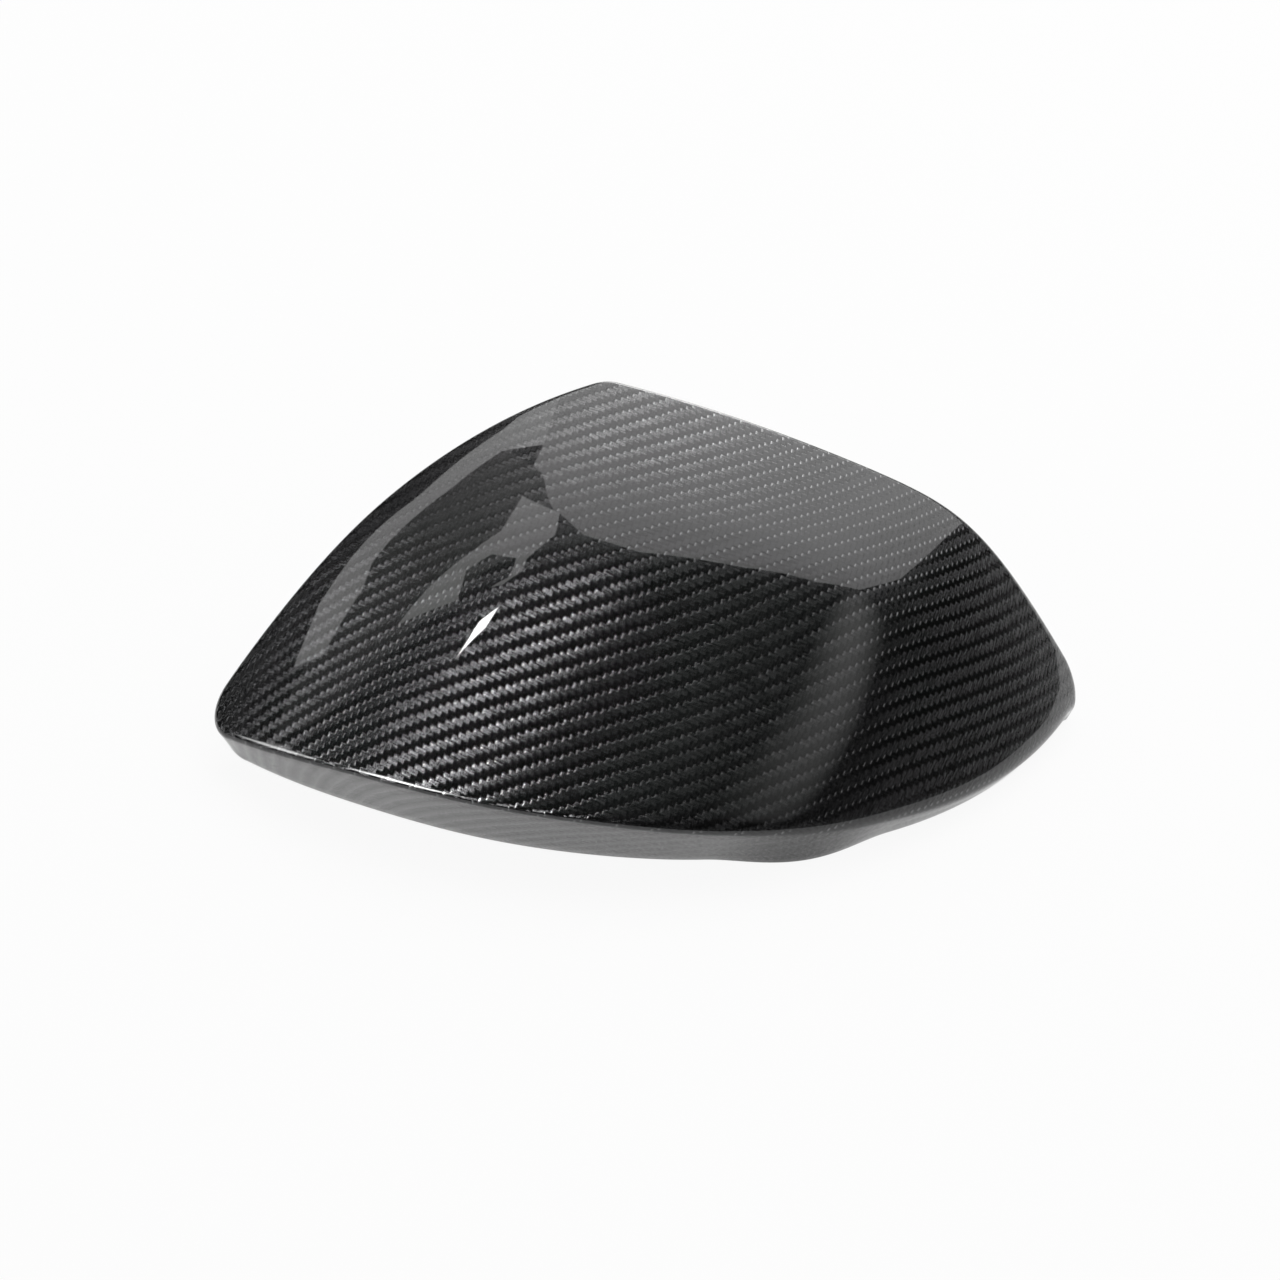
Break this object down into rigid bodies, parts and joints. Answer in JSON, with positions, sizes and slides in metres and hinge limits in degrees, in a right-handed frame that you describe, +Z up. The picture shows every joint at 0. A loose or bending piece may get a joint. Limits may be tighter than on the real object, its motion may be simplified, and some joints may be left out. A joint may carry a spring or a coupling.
{
  "type": "wing mirror cover",
  "caption": "Glossy woven carbon cap for a car's door mirror: a thin faceted bowl with a crisp lower edge, a turned-in flange and snap clips inside.",
  "frame": {"origin": "under the middle of the cover's box, on the plane of the flange's rim", "axes": "+X along the cover from the inner tip (door side) to the outer tip, +Y from the front edge towards the open back, +Z up"},
  "size_m": [0.2382, 0.1352, 0.0748],
  "materials": {
    "lacquered_carbon": "high gloss clear lacquer over a 2x2 twill carbon weave",
    "clip_plastic": "moulded, matt black"
  },
  "bodies": {
    "root": {"shell": "lacquered_carbon", "snap_clips": "clip_plastic"}
  },
  "joints": []
}
